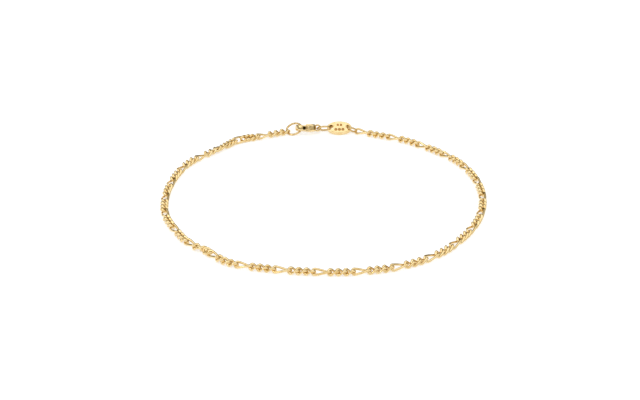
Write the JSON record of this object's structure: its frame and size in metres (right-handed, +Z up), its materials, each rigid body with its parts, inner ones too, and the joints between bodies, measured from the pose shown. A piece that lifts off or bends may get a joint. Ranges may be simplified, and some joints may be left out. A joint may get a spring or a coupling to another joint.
{
  "type": "chain anklet",
  "caption": "Fine figaro chain anklet lying fastened in a loop, with a sprung lobster clasp, jump rings and a small oval tag.",
  "frame": {"origin": "on the surface the anklet lies on, under the middle of its outline", "axes": "+Z up from the surface; +Y from the far side of the loop towards the clasp and tag; +X from the clasp towards the tag"},
  "size_m": [0.0783, 0.0835, 0.0031],
  "materials": {
    "chain_gold": "bright yellow gold plating on round drawn wire",
    "polished_gold": "bright polished yellow gold plating"
  },
  "bodies": {
    "anklet": {"chain": "chain_gold", "end_ring": "polished_gold", "clasp_body": "polished_gold", "lever_pin": "polished_gold", "clasp_ring": "polished_gold", "tag": "polished_gold", "tag_ring": "polished_gold"},
    "lever": {"clasp_lever": "polished_gold"}
  },
  "joints": [
    {"name": "lever_pivot", "type": "hinge", "parent": "anklet", "child": "lever", "pos_m": [-0.00287, 0.03864, 0.00193], "axis": [0, -0.4226, -0.9063], "range_deg": [0, 25], "stiffness_Nm_per_rad": 0.0015, "springref_deg": -34.38}
  ]
}
